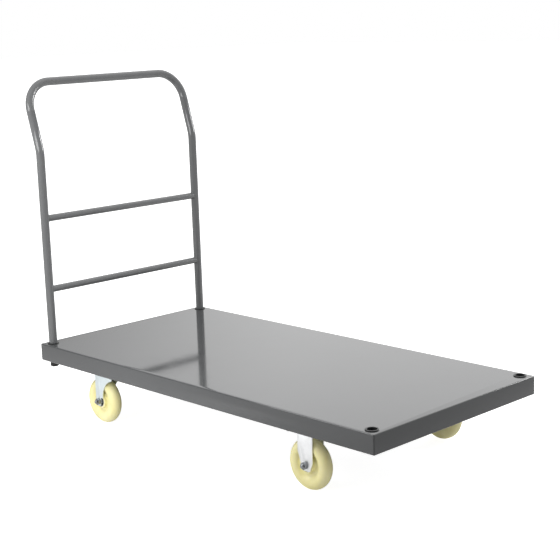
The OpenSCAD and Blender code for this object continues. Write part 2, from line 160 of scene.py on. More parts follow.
def softbox(name, spot, aim, width, height, watts, mirrored=True):
    """A rectangular lamp at a spot, facing the aim. The camera never sees it; shiny parts may mirror it."""
    lamp = bpy.data.lights.new(name, "AREA")
    lamp.shape = "RECTANGLE"
    lamp.size = width
    lamp.size_y = height
    lamp.energy = watts
    holder = bpy.data.objects.new(name, lamp)
    holder.location = spot
    holder.rotation_euler = (Vector(spot) - Vector(aim)).to_track_quat("Z", "Y").to_euler()
    holder.visible_camera = False
    holder.visible_glossy = mirrored
    bpy.context.scene.collection.objects.link(holder)


softbox("left_softbox", (-0.3, -1.05, 1.02), (-0.22, 0, 0.4), 0.85, 0.5, 8.4)
softbox("low_left_softbox", (-0.17, -0.75, 0.2), (-0.17, 0, 0.16), 0.3, 0.1, 1.0, mirrored=False)
softbox("right_softbox", (1.0, 2.46, 1.4), (-0.5, 0, 0.7), 1.05, 0.5, 26)
softbox("overhead_softbox", (0.1, 0.5, 3.0), (0, 0, 0), 2.0, 1.4, 11, mirrored=False)


# Paint. Grey polyester powder coat, sprayed and baked on steel: a hard semi-gloss skin that mirrors
# at low angles, with fine orange peel, faint cloudiness and dust dulling it in patches.
def powder_coat(name, colour, peel_height):
    """Powder coat of one colour, with orange peel of a given height."""
    paint, tree, out = new_material(name)
    place = add_node(tree, "ShaderNodeTexCoord")
    cloud = add_node(tree, "ShaderNodeTexNoise", [("Vector", place.outputs["Object"])],
                     Scale=1 / (180 * mm), Detail=4.0, Roughness=0.6)
    speck = add_node(tree, "ShaderNodeTexNoise", [("Vector", place.outputs["Object"])],
                     Scale=1 / (1.6 * mm), Detail=2.0)
    shade = add_node(tree, "ShaderNodeMapRange", [("Value", cloud.outputs["Fac"])], To_Min=0.93, To_Max=1.07)
    grain = add_node(tree, "ShaderNodeMapRange", [("Value", speck.outputs["Fac"])], To_Min=0.97, To_Max=1.03)
    tint = times(tree, shade.outputs["Result"], grain.outputs["Result"])
    body = add_node(tree, "ShaderNodeMix", data_type="RGBA", blend_type="MULTIPLY")
    body.inputs[0].default_value = 1.0
    body.inputs[6].default_value = linear(colour)
    tree.links.new(tint, body.inputs[7])
    dust = add_node(tree, "ShaderNodeTexNoise", [("Vector", place.outputs["Object"])],
                    Scale=1 / (60 * mm), Detail=5.0, Roughness=0.65)
    gloss = add_node(tree, "ShaderNodeMapRange", [("Value", dust.outputs["Fac"])],
                     From_Min=0.3, From_Max=0.75, To_Min=0.06, To_Max=0.12)
    peel = add_node(tree, "ShaderNodeTexNoise", [("Vector", place.outputs["Object"])],
                    Scale=1 / (2.4 * mm), Detail=1.0)
    relief = add_node(tree, "ShaderNodeBump", [("Height", peel.outputs["Fac"])], Strength=1.0,
                      Distance=peel_height)
    skin = add_node(tree, "ShaderNodeBsdfPrincipled",
                    [("Base Color", body.outputs[2]), ("Roughness", gloss.outputs["Result"]),
                     ("Normal", relief.outputs["Normal"])], IOR=1.5)
    tree.links.new(skin.outputs["BSDF"], out.inputs["Surface"])
    return paint


grey_coat = powder_coat("grey_powder_coat", "#464748", 0.004 * mm)
chassis_coat = powder_coat("chassis_powder_coat", "#454647", 0.015 * mm)


# Deck tray. One sheet of 2 mm mild steel with its four edges folded down, their feet turned in as a
# lip, the corners closed by a weld that leaves a fine upright seam, and four holes punched for the sockets.
def clear_selection():
    """Leaves edit mode and selects nothing."""
    if bpy.context.mode != "OBJECT":
        bpy.ops.object.mode_set(mode="OBJECT")
    bpy.ops.object.select_all(action="DESELECT")


def begin(name):
    """Names the primitive just added and puts its place and size into its mesh."""
    piece = bpy.context.active_object
    piece.name = name
    bpy.ops.object.transform_apply(location=True, rotation=True, scale=True)
    return piece


def choose(piece, kind, test):
    """Selects the edges or faces of a piece whose middle passes a test, and opens it for editing."""
    bpy.ops.object.mode_set(mode="OBJECT")
    bpy.context.tool_settings.mesh_select_mode = (False, kind == "EDGE", kind == "FACE")
    mesh = piece.data
    for group in (mesh.vertices, mesh.edges, mesh.polygons):
        group.foreach_set("select", [False] * len(group))
    if kind == "EDGE":
        for edge in mesh.edges:
            a, b = (mesh.vertices[i].co for i in edge.vertices)
            edge.select = test((a + b) / 2, (b - a).normalized())
    else:
        for face in mesh.polygons:
            face.select = test(face.center, face.normal)
    bpy.ops.object.mode_set(mode="EDIT")


def apply_modifier(piece, kind, **settings):
    """Puts a modifier on a piece and applies it."""
    bpy.ops.object.mode_set(mode="OBJECT")
    bpy.context.view_layer.objects.active = piece
    modifier = piece.modifiers.new(kind.lower(), kind)
    for key, value in settings.items():
        setattr(modifier, key, value)
    bpy.ops.object.modifier_apply(modifier=modifier.name)


def cut_away(piece, cutter):
    """Takes the cutter's shape out of a piece."""
    apply_modifier(piece, "BOOLEAN", operation="DIFFERENCE", solver="EXACT", object=cutter)
    bpy.data.objects.remove(cutter)


def tidy_mesh(piece):
    """Merges doubles and turns every face outwards."""
    clear_selection()
    bpy.context.view_layer.objects.active = piece
    bpy.ops.object.mode_set(mode="EDIT")
    bpy.ops.mesh.select_all(action="SELECT")
    bpy.ops.mesh.remove_doubles(threshold=1e-6)
    bpy.ops.mesh.normals_make_consistent(inside=False)
    bpy.ops.object.mode_set(mode="OBJECT")


def dress(piece, material, body, slot, *nodes, smooth=35):
    """Gives a finished piece its material and its body, and hides the CAD nodes it stands for; the slot is not
    used.
    """
    clear_selection()
    piece.select_set(True)
    bpy.context.view_layer.objects.active = piece
    bpy.ops.object.shade_smooth_by_angle(angle=math.radians(smooth))
    piece.data.materials.clear()
    piece.data.materials.append(material)
    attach(piece, body)
    if nodes:
        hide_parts(*nodes)
    return piece


tray_low, tray_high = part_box("deck_tray")
tray_size = tray_high - tray_low
tray_middle = (tray_low + tray_high) / 2
sheet_t = 2 * mm
corner_r = 4 * mm
fold_r = 3 * mm
lip_w = 12 * mm
seam_r = 0.9 * mm
socket_wall = 1.5 * mm

clear_selection()
bpy.ops.mesh.primitive_cube_add(size=1, location=tray_middle, scale=tray_size)
tray = begin("deck_sheet")
choose(tray, "EDGE", lambda middle, way: abs(way.z) > 0.9)
bpy.ops.mesh.bevel(offset=corner_r, segments=8, affect="EDGES")
choose(tray, "EDGE", lambda middle, way: middle.z > tray_high.z - 0.01 * mm)
bpy.ops.mesh.bevel(offset=fold_r, segments=6, affect="EDGES")
choose(tray, "EDGE", lambda middle, way: middle.z < tray_low.z + 0.01 * mm)
bpy.ops.mesh.bevel(offset=fold_r, segments=5, affect="EDGES")
choose(tray, "FACE", lambda middle, way: way.z < -0.99)
bpy.ops.mesh.inset(thickness=lip_w - fold_r)
bpy.ops.mesh.delete(type="FACE")
apply_modifier(tray, "SOLIDIFY", thickness=sheet_t, offset=-1, use_even_offset=True)
sockets = {}
for end in ("front", "rear"):
    for side in ("left", "right"):
        low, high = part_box(f"socket_bush_{end}_{side}")
        sockets[end, side] = (low + high) / 2
bush_low, bush_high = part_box("socket_bush_front_left")
flange_r = (bush_high.x - bush_low.x) / 2
tube_low, tube_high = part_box("socket_tube_front_left")
sleeve_r = (tube_high.x - tube_low.x) / 2 - socket_wall
for middle in sockets.values():
    clear_selection()
    bpy.ops.mesh.primitive_cylinder_add(vertices=64, radius=sleeve_r, depth=20 * mm,
                                        location=(middle.x, middle.y, tray_high.z))
    cut_away(tray, begin("punch"))
for dx in (-1, 1):
    for dy in (-1, 1):
        clear_selection()
        reach = corner_r * (1 - math.sqrt(0.5))
        bpy.ops.mesh.primitive_cylinder_add(
            vertices=12, radius=seam_r, depth=tray_size.z - 2 * fold_r,
            location=(tray_middle.x + dx * (tray_size.x / 2 - reach),
                      tray_middle.y + dy * (tray_size.y / 2 - reach), tray_middle.z))
        cut_away(tray, begin("seam"))
dress(tray, grey_coat, "chassis", "deck_paint", "deck_tray")


# Chassis. Folded channels and cut tube welded under the deck. They wear the deck's coat, sprayed more
# thinly where nobody looks, so it is a little darker and its orange peel is coarser.
def recoat(material, *starts):
    """Gives every CAD node whose name has one of these starts a material."""
    for name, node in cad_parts.items():
        if name.startswith(starts):
            node.data.materials.clear()
            node.data.materials.append(material)


recoat(chassis_coat, "caster_beam", "stiffener", "socket_tube")


# Socket bushes. Black polypropylene bushes pushed into the four sockets from above. A thin round-edged
# flange lies on the deck, and a chamfer leads the post in.
def arc(across, along, radius, start, end, steps=8):
    """Points on a round stretch of an outline, between two angles in degrees."""
    turns = [math.radians(start + (end - start) * i / steps) for i in range(steps + 1)]
    return [(across + radius * math.cos(turn), along + radius * math.sin(turn)) for turn in turns]


def trace(name, places):
    """Draws a closed wire through places by extruding one vertex, and leaves it open for editing."""
    clear_selection()
    bpy.ops.mesh.primitive_plane_add(size=mm, location=places[0])
    piece = begin(name)
    bpy.context.tool_settings.mesh_select_mode = (True, False, False)
    bpy.ops.object.mode_set(mode="EDIT")
    bpy.ops.mesh.select_all(action="SELECT")
    bpy.ops.mesh.merge(type="CENTER")
    for here, there in zip(places, places[1:] + places[:1]):
        bpy.ops.mesh.extrude_vertices_move(TRANSFORM_OT_translate={"value": there - here})
    bpy.ops.mesh.select_all(action="SELECT")
    bpy.ops.mesh.remove_doubles(threshold=1e-7)
    bpy.ops.mesh.select_all(action="SELECT")
    return piece


def turned(name, outline, centre, axis, steps=64):
    """A turned shape: a closed outline of (radius, height) points, spun about an axis through the centre."""
    centre, axis = Vector(centre), Vector(axis)
    piece = trace(name, [centre + Vector((radius, 0, 0)) + axis * height for radius, height in outline])
    bpy.ops.mesh.spin(steps=steps, angle=math.tau, center=centre, axis=axis)
    tidy_mesh(piece)
    return piece


def copy_of(piece, name, move):
    """Another of the same piece with its own mesh, moved into place."""
    twin = piece.copy()
    twin.data = piece.data.copy()
    twin.data.transform(Matrix.Translation(move))
    twin.name = name
    bpy.context.scene.collection.objects.link(twin)
    return twin


def mirror_of(piece, name):
    """The right-hand copy of a left-hand piece, with its faces turned outwards again."""
    twin = copy_of(piece, name, (0, 0, 0))
    twin.data.transform(Matrix.Diagonal((1, -1, 1, 1)))
    twin.data.flip_normals()
    return twin


def moulded_black(name, colour, roughness):
    """Injection-moulded black plastic: fine spark texture from the mould, and a slightly uneven shine."""
    plastic, tree, out = new_material(name)
    place = add_node(tree, "ShaderNodeTexCoord")
    spark = add_node(tree, "ShaderNodeTexNoise", [("Vector", place.outputs["Object"])],
                     Scale=1 / (0.8 * mm), Detail=3.0)
    scuff = add_node(tree, "ShaderNodeTexNoise", [("Vector", place.outputs["Object"])],
                     Scale=1 / (9 * mm), Detail=4.0)
    body = add_node(tree, "ShaderNodeValToRGB", [("Fac", scuff.outputs["Fac"])])
    body.color_ramp.elements[0].position = 0.35
    body.color_ramp.elements[0].color = linear(colour)
    body.color_ramp.elements[1].position = 0.8
    body.color_ramp.elements[1].color = [3 * c for c in linear(colour)[:3]] + [1.0]
    gloss = add_node(tree, "ShaderNodeMapRange", [("Value", scuff.outputs["Fac"])],
                     To_Min=roughness - 0.08, To_Max=roughness + 0.08)
    relief = add_node(tree, "ShaderNodeBump", [("Height", spark.outputs["Fac"])], Strength=0.6,
                      Distance=0.03 * mm)
    skin = add_node(tree, "ShaderNodeBsdfPrincipled",
                    [("Base Color", body.outputs["Color"]), ("Roughness", gloss.outputs["Result"]),
                     ("Normal", relief.outputs["Normal"])], IOR=1.49)
    tree.links.new(skin.outputs["BSDF"], out.inputs["Surface"])
    return plastic


black_polypropylene = moulded_black("black_polypropylene", "#121314", 0.42)
bush_r = 11.83 * mm
clearance = 0.02 * mm
bush_out = bush_r + 1.7 * mm
flange_t = bush_high.z - tray_high.z
bush_foot = bush_low.z - tray_high.z
edge_r = 0.8 * mm
lead_in = 0.7 * mm
bush_outline = ([(bush_r, bush_foot), (bush_out, bush_foot), (bush_out, clearance), (flange_r, clearance)]
                + arc(flange_r - edge_r, flange_t - edge_r, edge_r, 0, 90, 5)
                + [(bush_r + lead_in, flange_t), (bush_r, flange_t - lead_in)])
for (end, side), middle in sockets.items():
    bush = turned(f"socket_bush_{end}_{side}_moulding", bush_outline, (middle.x, middle.y, tray_high.z),
                  (0, 0, 1))
    dress(bush, black_polypropylene, "chassis", "black_plastic", f"socket_bush_{end}_{side}")


# Handle bow. One length of 23.5 mm steel tube: two posts bent back at shoulder height, and a top bar
# bent across from one to the other. A flush butt weld shows as a faint ridge below each top corner.
post = sockets["rear", "right"]
tube_r = 11.75 * mm
tube_wall = 1.5 * mm
plug_low, plug_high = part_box("end_plug_right")
tube_foot = plug_high.z - 19 * mm
lean = math.radians(16.4)
kink_z = tray_high.z + 545 * mm
kink_r = 105 * mm
kink_run = kink_r * math.tan(lean / 2)
leaning = 193 * mm
corner_bend_r = 78 * mm
weld_gap = 3 * mm
ridge_rise = 0.5 * mm
ridge_fall = 0.9 * mm
ridge_swell = 1.035
up_lean = Vector((-math.sin(lean), 0, math.cos(lean)))
bend_axis = Vector((-math.cos(lean), 0, -math.sin(lean)))


def extrude_by(step):
    """Extrudes the selection by a step."""
    bpy.ops.mesh.extrude_region_move(TRANSFORM_OT_translate={"value": step})


def bend(centre, axis, angle, steps):
    """Carries the open end of a tube round a bend. Spin turns left-handed, so the angle is negated."""
    bpy.ops.mesh.spin(steps=steps, angle=-angle, center=centre, axis=axis)


def swell(centre, by):
    """Scales the selection about a centre."""
    bpy.ops.transform.resize(value=(by, by, by), center_override=centre)


def butt_weld(centre, way):
    """A low ridge across the tube, where two lengths are welded end to end and ground."""
    for step, size in ((ridge_rise, ridge_swell), (ridge_fall, 1 / ridge_swell)):
        extrude_by(way * step)
        centre = centre + way * step
        swell(centre, size)
    return centre


clear_selection()
spot = Vector((post.x, post.y, tube_foot))
bpy.ops.mesh.primitive_circle_add(vertices=40, radius=tube_r, fill_type="NOTHING", location=spot)
bow = begin("handle_bow")
bpy.context.tool_settings.mesh_select_mode = (False, True, False)
bpy.ops.object.mode_set(mode="EDIT")
bpy.ops.mesh.select_all(action="SELECT")
kink_centre = Vector((post.x - kink_r, post.y, kink_z - kink_run))
straight_up = kink_centre.z - tube_foot
extrude_by((0, 0, straight_up))
bend(kink_centre, (0, 1, 0), -lean, 8)
spot = Vector((post.x, post.y, kink_z)) + up_lean * kink_run
sloping = leaning - corner_bend_r - kink_run
extrude_by(up_lean * (sloping - weld_gap))
spot = butt_weld(spot + up_lean * (sloping - weld_gap), up_lean)
rest = Vector((post.x, post.y, kink_z)) + up_lean * (leaning - corner_bend_r) - spot
extrude_by(rest)
spot = spot + rest
bend(spot + Vector((0, corner_bend_r, 0)), bend_axis, math.pi / 2, 20)
across = 2 * (-post.y - corner_bend_r)
extrude_by((0, across, 0))
spot = Vector((spot.x, -spot.y, spot.z))
bend(spot - Vector((0, corner_bend_r, 0)), bend_axis, math.pi / 2, 20)
extrude_by(-rest)
spot = butt_weld(spot - rest, -up_lean)
extrude_by(-up_lean * (sloping - rest.length - ridge_rise - ridge_fall))
bend(Vector((kink_centre.x, -kink_centre.y, kink_centre.z)), (0, 1, 0), lean, 8)
extrude_by((0, 0, -straight_up))
tidy_mesh(bow)
apply_modifier(bow, "SOLIDIFY", thickness=tube_wall, offset=-1)
handle_coat = powder_coat("handle_powder_coat", "#656667", 0.006 * mm)
dress(bow, handle_coat, "handle", "handle_paint", "handle_tube", smooth=50)


# Rails. Two lengths of 19 mm tube, coped to the posts and welded all round with a small even bead.
rail_wall = 1.2 * mm
bead_r = 1.3 * mm
for name in ("lower_rail", "upper_rail"):
    rail_low, rail_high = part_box(name)
    rail_r = (rail_high.z - rail_low.z) / 2
    middle = (rail_low + rail_high) / 2
    clear_selection()
    bpy.ops.mesh.primitive_cylinder_add(vertices=36, radius=rail_r, depth=2 * -post.y - tube_r,
                                        end_fill_type="NOTHING", location=middle,
                                        rotation=(math.pi / 2, 0, 0))
    rail = begin(f"{name}_tube")
    apply_modifier(rail, "SOLIDIFY", thickness=rail_wall, offset=-1)
    for side in (-1, 1):
        clear_selection()
        bpy.ops.mesh.primitive_cylinder_add(vertices=96, radius=tube_r, depth=4 * rail_r,
                                            location=(post.x, side * post.y, middle.z))
        cut_away(rail, begin("cope"))
    beads = []
    for side in (-1, 1):
        turns = [math.tau * i / 48 for i in range(48)]
        reach = [rail_r * math.cos(turn) for turn in turns]
        wire = trace(f"{name}_bead", [
            Vector((post.x + off, side * (-post.y - math.sqrt(tube_r ** 2 - off ** 2)),
                    middle.z + rail_r * math.sin(turn))) for off, turn in zip(reach, turns)])
        bpy.ops.object.mode_set(mode="OBJECT")
        clear_selection()
        wire.select_set(True)
        bpy.context.view_layer.objects.active = wire
        bpy.ops.object.convert(target="CURVE")
        bead = bpy.context.active_object
        bead.data.bevel_depth = bead_r
        bead.data.bevel_resolution = 2
        bpy.ops.object.convert(target="MESH")
        beads.append(bpy.context.active_object)
    clear_selection()
    for part in (rail, *beads):
        part.select_set(True)
    bpy.context.view_layer.objects.active = rail
    bpy.ops.object.join()
    tidy_mesh(rail)
    dress(rail, handle_coat, "handle", "handle_paint", name, smooth=40)


# Post feet. Soft black caps with a stem pushed into each post, and a rounded edge that finds the socket.
soft_black = moulded_black("soft_black_plastic", "#0c0d0d", 0.5)
foot_r = 3 * mm
stem_r = tube_r - tube_wall - clearance
stem_chamfer = 1 * mm
foot_outline = ([(0, plug_low.z)] + arc(tube_r - foot_r, plug_low.z + foot_r, foot_r, -90, 0)
                + [(tube_r, tube_foot - clearance), (stem_r, tube_foot - clearance),
                   (stem_r, plug_high.z - stem_chamfer),
                   (stem_r + clearance - stem_chamfer, plug_high.z), (0, plug_high.z)])
for side, way in (("left", -1), ("right", 1)):
    foot = turned(f"post_foot_{side}", foot_outline, (post.x, way * post.y, 0), (0, 0, 1), 40)
    dress(foot, soft_black, "handle", "black_plastic", f"end_plug_{side}")


# Wheels. Cast in one piece from cream nylon: a full round tread, a dished web on each face, a hub bored
# for its bearings, and a fine parting line round the tread where the mould closed.
def cast_nylon(name, colour, shade_colour):
    """Cast nylon: waxy and slightly translucent, with cloudy patches and a soft even shine."""
    nylon, tree, out = new_material(name)
    place = add_node(tree, "ShaderNodeTexCoord")
    cloud = add_node(tree, "ShaderNodeTexNoise", [("Vector", place.outputs["Object"])],
                     Scale=1 / (45 * mm), Detail=4.0, Roughness=0.55)
    body = add_node(tree, "ShaderNodeValToRGB", [("Fac", cloud.outputs["Fac"])])
    body.color_ramp.elements[0].position = 0.3
    body.color_ramp.elements[0].color = linear(shade_colour)
    body.color_ramp.elements[1].position = 0.7
    body.color_ramp.elements[1].color = linear(colour)
    scuff = add_node(tree, "ShaderNodeTexNoise", [("Vector", place.outputs["Object"])],
                     Scale=1 / (7 * mm), Detail=5.0, Roughness=0.7)
    gloss = add_node(tree, "ShaderNodeMapRange", [("Value", scuff.outputs["Fac"])], To_Min=0.28, To_Max=0.48)
    relief = add_node(tree, "ShaderNodeBump", [("Height", scuff.outputs["Fac"])], Strength=0.5,
                      Distance=0.05 * mm)
    skin = add_node(tree, "ShaderNodeBsdfPrincipled",
                    [("Base Color", body.outputs["Color"]), ("Roughness", gloss.outputs["Result"]),
                     ("Normal", relief.outputs["Normal"])], IOR=1.53, Subsurface_Weight=0.25,
                    Subsurface_Radius=(1.0, 0.85, 0.35), Subsurface_Scale=4 * mm)
    tree.links.new(skin.outputs["BSDF"], out.inputs["Surface"])
    return nylon


nylon = cast_nylon("cream_cast_nylon", "#eae3b0", "#dfd799")
wheel_low, wheel_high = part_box("wheel_front_left")
axle = (wheel_low + wheel_high) / 2
wheel_r = (wheel_high.z - wheel_low.z) / 2
hub_half = (wheel_high.y - wheel_low.y) / 2
tread_half = hub_half - 0.6 * mm
web_half = 8.5 * mm
bore_r = 16.02 * mm
hub_r = 21 * mm
crest_r = wheel_r - tread_half
bowl_r = 34.5 * mm
upper = ([(bore_r, hub_half - 0.8 * mm), (bore_r + 0.8 * mm, hub_half)]
         + arc(hub_r - 1.5 * mm, hub_half - 1.5 * mm, 1.5 * mm, 90, 10, 4)
         + arc(hub_r + 4 * mm, web_half + 3.5 * mm, 3.5 * mm, 180, 270, 5)
         + arc(bowl_r - 5 * mm, web_half + 3 * mm, 3 * mm, 270, 330, 4)
         + arc(crest_r, 0, tread_half, 141, 2, 36)
         + [(wheel_r - 0.05 * mm, 0.3 * mm)])
wheel_outline = upper + [(radius, -height) for radius, height in reversed(upper)]
wheel_outline = [(min(radius, wheel_r), height) for radius, height in wheel_outline]
wheel = turned("wheel_front_left_casting", wheel_outline, axle, (0, 1, 0), 96)
rear_low, rear_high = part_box("wheel_rear_left")
to_rear = (rear_low + rear_high) / 2 - axle
wheels = {("front", "left"): wheel, ("rear", "left"): copy_of(wheel, "wheel_rear_left_casting", to_rear)}
for end in ("front", "rear"):
    wheels[end, "right"] = mirror_of(wheels[end, "left"], f"wheel_{end}_right_casting")
for (end, side), piece in wheels.items():
    dress(piece, nylon, f"wheel_{end}_{side}", "nylon", f"wheel_{end}_{side}", smooth=40)


# Wheel bearings. A sealed ball bearing is pressed into each face of the hub: ground steel rings with a
# black rubber seal sunk between them.
def plain_steel(name, colour, roughness, grain, depth):
    """Bare or plated steel: metallic, with cloudy shine and a fine grain left by its last working."""
    steel, tree, out = new_material(name)
    place = add_node(tree, "ShaderNodeTexCoord")
    cloud = add_node(tree, "ShaderNodeTexNoise", [("Vector", place.outputs["Object"])],
                     Scale=1 / (30 * mm), Detail=5.0, Roughness=0.6)
    fine = add_node(tree, "ShaderNodeTexNoise", [("Vector", place.outputs["Object"])],
                    Scale=1 / grain, Detail=4.0)
    body = add_node(tree, "ShaderNodeValToRGB", [("Fac", cloud.outputs["Fac"])])
    body.color_ramp.elements[0].position = 0.3
    body.color_ramp.elements[0].color = [0.88 * c for c in linear(colour)[:3]] + [1.0]
    body.color_ramp.elements[1].position = 0.7
    body.color_ramp.elements[1].color = linear(colour)
    gloss = add_node(tree, "ShaderNodeMapRange", [("Value", cloud.outputs["Fac"])],
                     To_Min=roughness - 0.07, To_Max=roughness + 0.07)
    relief = add_node(tree, "ShaderNodeBump", [("Height", fine.outputs["Fac"])], Strength=0.5, Distance=depth)
    skin = add_node(tree, "ShaderNodeBsdfPrincipled",
                    [("Base Color", body.outputs["Color"]), ("Roughness", gloss.outputs["Result"]),
                     ("Normal", relief.outputs["Normal"])], Metallic=1.0)
    tree.links.new(skin.outputs["BSDF"], out.inputs["Surface"])
    return steel


bearing_steel = plain_steel("ground_bearing_steel", "#c4c6c8", 0.24, 0.5 * mm, 0.01 * mm)
seal_rubber = moulded_black("black_nitrile_rubber", "#0e0f0f", 0.55)
recoat(bearing_steel, "bearing_cup", "swivel_balls", "axle_sleeve", "kingpin_left", "kingpin_right")
bearing_face = hub_half - 0.2 * mm
bearing_w = 9 * mm
inner_r = 7.55 * mm
seal_in = 10 * mm
seal_out = 14.8 * mm
race_out = bore_r - clearance
ring_outlines = ([(seal_out, 0), (race_out, 0), (race_out, bearing_w - 0.5 * mm),
                  (bore_r - 0.5 * mm, bearing_w), (seal_out, bearing_w)],
                 [(inner_r, 0), (seal_in, 0), (seal_in, bearing_w), (inner_r + 0.4 * mm, bearing_w),
                  (inner_r, bearing_w - 0.4 * mm)])
seal_outline = [(seal_in, 0.5 * mm), (seal_out, 0.5 * mm), (seal_out, bearing_w - 0.5 * mm),
                (seal_out - 0.7 * mm, bearing_w - 0.2 * mm), (seal_out - 1.4 * mm, bearing_w - 0.7 * mm),
                (seal_in + 0.4 * mm, bearing_w - 0.9 * mm), (seal_in, bearing_w - 0.5 * mm)]


def joined(name, *parts):
    """Several meshes as one piece."""
    clear_selection()
    for part in parts:
        part.select_set(True)
    bpy.context.view_layer.objects.active = parts[0]
    bpy.ops.object.join()
    parts[0].name = name
    return parts[0]


def both_faces(name, *outlines):
    """Turned rings on the outer face of the front left hub, and the same on its inner face."""
    rings = []
    for way in (1, -1):
        for outline in outlines:
            rings.append(turned("ring", outline, axle + Vector((0, way * (bearing_face - bearing_w), 0)),
                                (0, way, 0), 48))
    return joined(name, *rings)


def four_wheels(piece, stem, dresser):
    """Copies a front left piece to the other three wheels and dresses all four."""
    rear = copy_of(piece, f"{stem}_rear_left", to_rear)
    piece.name = f"{stem}_front_left"
    for end, left in (("front", piece), ("rear", rear)):
        dresser(left, end, "left")
        dresser(mirror_of(left, f"{stem}_{end}_right"), end, "right")


four_wheels(both_faces("bearing_rings", *ring_outlines), "bearing_rings",
            lambda piece, end, side: dress(piece, bearing_steel, f"wheel_{end}_{side}", "bearing_steel",
                                           f"wheel_bearings_{end}_{side}"))
four_wheels(both_faces("bearing_seals", seal_outline), "bearing_seals",
            lambda piece, end, side: dress(piece, seal_rubber, f"wheel_{end}_{side}", "bearing_steel"))


# Rigid forks. 3 mm steel plate with four holes, and under it a U folded from 2.5 mm strip whose legs
# taper to the axle. Spot-welded together and bright zinc plated after.
bright_zinc = plain_steel("bright_zinc_plated_sheet", "#f3f4f5", 0.36, 1.2 * mm, 0.012 * mm)
fork_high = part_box("rigid_fork_left")[1]
plate_t = 3 * mm
plate_low = fork_high.z - plate_t
leg_t = 2.5 * mm
plate_l = 100 * mm
plate_w = 84 * mm
plate_corner_r = 8 * mm
hole_r = 4.5 * mm
axle_hole_r = 5.05 * mm
wheel_gap = 0.4 * mm
leg_out = hub_half + wheel_gap + leg_t
hole_pitch = (80 * mm, 60 * mm)
crown_r = 5 * mm
edge = 0.35 * mm


def mounting_plate(name, middle, pin_r=None):
    """A caster plate round its middle: rounded corners, four bolt holes, and a kingpin hole if it has one."""
    clear_selection()
    bpy.ops.mesh.primitive_cube_add(size=1, location=(middle.x, middle.y, plate_low + plate_t / 2),
                                    scale=(plate_l, plate_w, plate_t))
    plate = begin(name)
    choose(plate, "EDGE", lambda spot, way: abs(way.z) > 0.9)
    bpy.ops.mesh.bevel(offset=plate_corner_r, segments=8, affect="EDGES")
    holes = [(middle.x + dx * hole_pitch[0] / 2, middle.y + dy * hole_pitch[1] / 2, hole_r)
             for dx in (-1, 1) for dy in (-1, 1)]
    if pin_r:
        holes.append((middle.x, middle.y, pin_r))
    for x, y, radius in holes:
        clear_selection()
        bpy.ops.mesh.primitive_cylinder_add(vertices=32, radius=radius, depth=4 * plate_t,
                                            location=(x, y, plate_low))
        cut_away(plate, begin("drill"))
    return plate


def folded_fork(name, back, front, top, shape):
    """A U of strip over the wheel, folded from back to front (from the axle), and shaped before it gets its
    thickness.
    """
    clear_selection()
    foot = axle.z - 30 * mm
    bpy.ops.mesh.primitive_cube_add(size=1, location=(axle.x + (back + front) / 2, axle.y, (foot + top) / 2),
                                    scale=(front - back, 2 * leg_out, top - foot))
    fork = begin(name)
    choose(fork, "FACE", lambda spot, way: way.z < -0.9 or abs(way.x) > 0.9)
    bpy.ops.mesh.delete(type="FACE")
    choose(fork, "EDGE", lambda spot, way: abs(way.x) > 0.9 and spot.z > top - mm)
    bpy.ops.mesh.bevel(offset=crown_r, segments=8, affect="EDGES")
    shape(fork)
    apply_modifier(fork, "SOLIDIFY", thickness=leg_t, offset=-1, use_even_offset=True)
    return fork


def trim(fork, outline):
    """Keeps what lies inside an outline of (forwards, upwards) points from the axle, and drills for the axle."""
    cutter = trace("trim", [axle + Vector((x, -40 * mm, z)) for x, z in outline])
    bpy.ops.mesh.edge_face_add()
    bpy.ops.mesh.extrude_region_move(TRANSFORM_OT_translate={"value": (0, 80 * mm, 0)})
    tidy_mesh(cutter)
    apply_modifier(fork, "BOOLEAN", operation="INTERSECT", solver="EXACT", object=cutter)
    bpy.data.objects.remove(cutter)
    clear_selection()
    bpy.ops.mesh.primitive_cylinder_add(vertices=32, radius=axle_hole_r, depth=80 * mm, location=axle,
                                        rotation=(math.pi / 2, 0, 0))
    cut_away(fork, begin("axle_drill"))


def break_edges(piece, width):
    """Takes the sharpness off every edge sharper than 40 degrees."""
    apply_modifier(piece, "BEVEL", width=width, segments=2, limit_method="ANGLE",
                   angle_limit=math.radians(40), use_clamp_overlap=True)
    tidy_mesh(piece)


leg_top = plate_low - axle.z
foot_bend = 4 * mm
rigid_outline = ([(-24 * mm, leg_top + 2 * mm), (-24 * mm, 33 * mm), (-9.5 * mm, -10 * mm)]
                 + arc(-5.5 * mm, -9.5 * mm, foot_bend, 200, 270, 4)
                 + arc(11.5 * mm, -9.5 * mm, foot_bend, 270, 335, 4)
                 + [(24 * mm, 9.5 * mm), (24 * mm, leg_top + 2 * mm)])
rigid = folded_fork("rigid_legs", -24 * mm, 24 * mm, plate_low, lambda fork: None)
trim(rigid, rigid_outline)
break_edges(rigid, edge)
rigid_plate = mounting_plate("rigid_plate", axle)
break_edges(rigid_plate, edge)
rigid = joined("rigid_fork_left_pressing", rigid_plate, rigid)
dress(rigid, bright_zinc, "chassis", "zinc_plate", "rigid_fork_left")
dress(mirror_of(rigid, "rigid_fork_right_pressing"), bright_zinc, "chassis", "zinc_plate", "rigid_fork_right")


